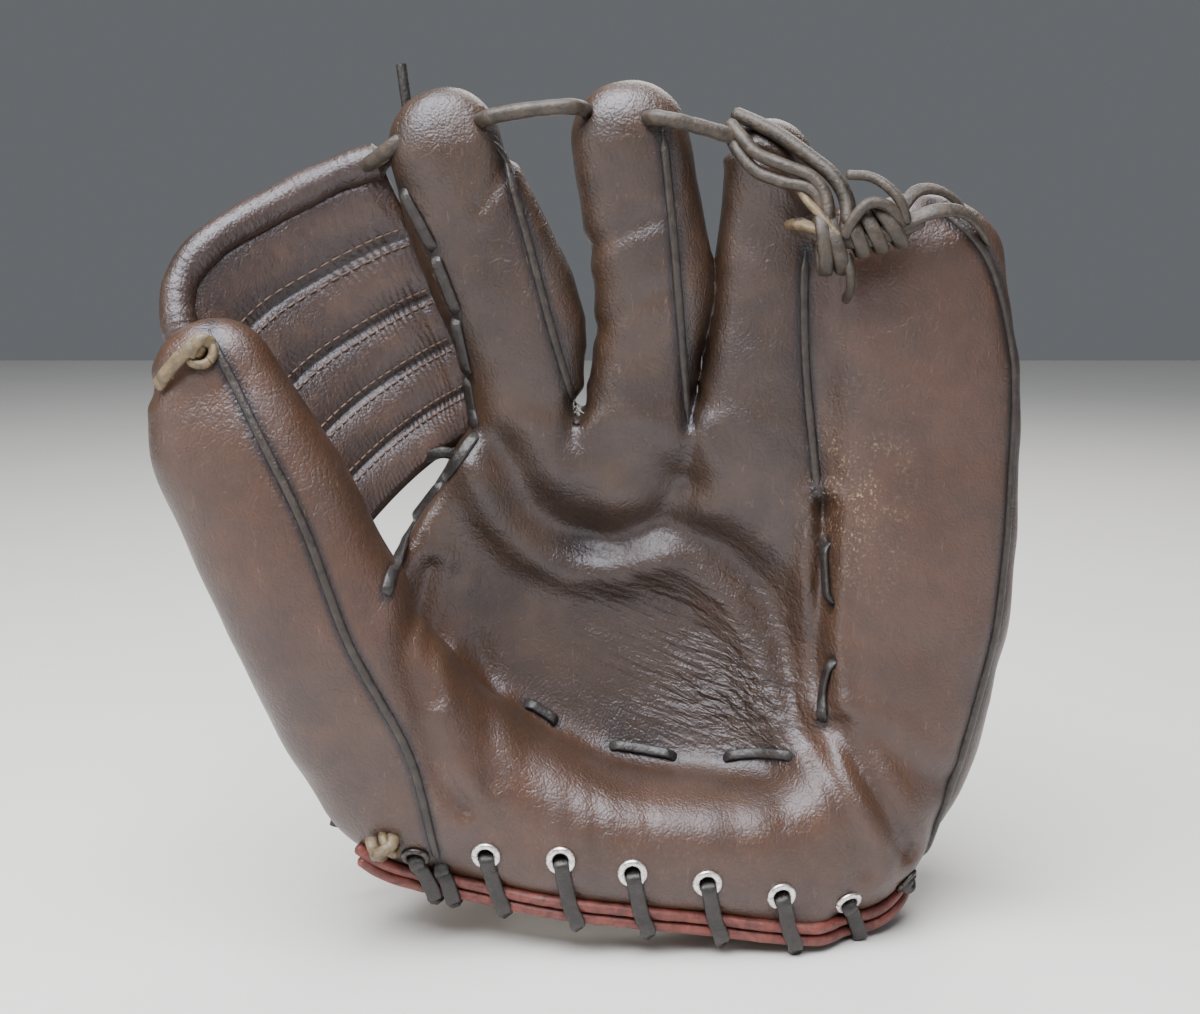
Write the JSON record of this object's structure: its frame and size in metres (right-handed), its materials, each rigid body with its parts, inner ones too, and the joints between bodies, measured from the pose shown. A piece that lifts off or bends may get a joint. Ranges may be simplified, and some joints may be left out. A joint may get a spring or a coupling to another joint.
{
  "type": "baseball glove",
  "caption": "Worn leather baseball fielding glove for the left hand, with deep pocket, padded web, laced fingertips and heel, welted seams and a snapped wrist strap",
  "frame": {"origin": "middle of the wrist opening, where the hand goes in", "axes": "+Z along the fingers, -Y the way the palm faces, +X from thumb to little finger"},
  "size_m": [0.2565, 0.0968, 0.2626],
  "materials": {
    "glove_leather": "oiled, worn smooth, semi-gloss",
    "welt_leather": "dark dyed strip, satin",
    "lining_leather": "matt suede side, soiled",
    "padding_felt": "matt pressed felt",
    "dark_lace": "waxed, satin",
    "rawhide_lace": "oiled rawhide, satin",
    "binding_leather": "red binding, worn satin",
    "eyelet_metal": "bright, slightly scratched",
    "snap_brass": "dulled"
  },
  "bodies": {
    "hand": {"back_leather": "glove_leather", "back_lining": "lining_leather", "heel_binding_lower": "binding_leather", "heel_binding_upper": "binding_leather", "heel_eyelets": "eyelet_metal", "heel_lace": "dark_lace", "heel_pad": "padding_felt", "index_back": "glove_leather", "index_edge_lace": "rawhide_lace", "index_felt": "padding_felt", "index_front": "glove_leather", "index_lace_tail": "rawhide_lace", "index_lining": "lining_leather", "index_to_middle_lace": "rawhide_lace", "index_welt": "welt_leather", "middle_back": "glove_leather", "middle_felt": "padding_felt", "middle_front": "glove_leather", "middle_lining": "lining_leather", "middle_to_ring_lace": "rawhide_lace", "middle_welt": "welt_leather", "palm_felt": "padding_felt", "palm_lace": "dark_lace", "palm_leather": "glove_leather", "palm_lining": "lining_leather", "ring_back": "glove_leather", "ring_felt": "padding_felt", "ring_front": "glove_leather", "ring_lining": "lining_leather", "ring_welt": "welt_leather", "snap_stud": "snap_brass", "web_panel_index": "glove_leather", "web_roll_index": "glove_leather", "web_to_index_lace": "rawhide_lace"},
    "thumb": {"heel_binding_lower_thumb": "binding_leather", "heel_binding_upper_thumb": "binding_leather", "heel_eyelets_thumb": "eyelet_metal", "heel_lace_thumb": "dark_lace", "thumb_back": "glove_leather", "thumb_felt": "padding_felt", "thumb_front": "glove_leather", "thumb_knot": "rawhide_lace", "thumb_lining": "lining_leather", "thumb_welt": "welt_leather", "web_panel_thumb": "glove_leather", "web_roll_thumb": "glove_leather", "heel_lace_tail": "rawhide_lace"},
    "little_finger": {"heel_binding_lower_little": "binding_leather", "heel_binding_upper_little": "binding_leather", "heel_eyelets_little": "eyelet_metal", "heel_lace_little": "dark_lace", "little_back": "glove_leather", "little_felt": "padding_felt", "little_finger_knot": "rawhide_lace", "little_front": "glove_leather", "little_lining": "lining_leather", "little_welt": "welt_leather"},
    "strap": {"wrist_strap": "glove_leather", "wrist_strap_lining": "lining_leather", "snap_cap": "snap_brass"}
  },
  "joints": [
    {"name": "thumb_fold", "type": "hinge", "parent": "hand", "child": "thumb", "pos_m": [-0.057, -0.045, 0.016], "axis": [-0.1703, 0.1466, 0.9744], "range_deg": [-5, 40]},
    {"name": "little_finger_fold", "type": "hinge", "parent": "hand", "child": "little_finger", "pos_m": [0.075, -0.031, 0.015], "axis": [0.1811, -0.0173, -0.9833], "range_deg": [-5, 30]},
    {"name": "strap_hinge", "type": "hinge", "parent": "hand", "child": "strap", "pos_m": [0.061, 0.0275, 0.031], "axis": [0, 0, -1], "range_deg": [0, 95]}
  ]
}
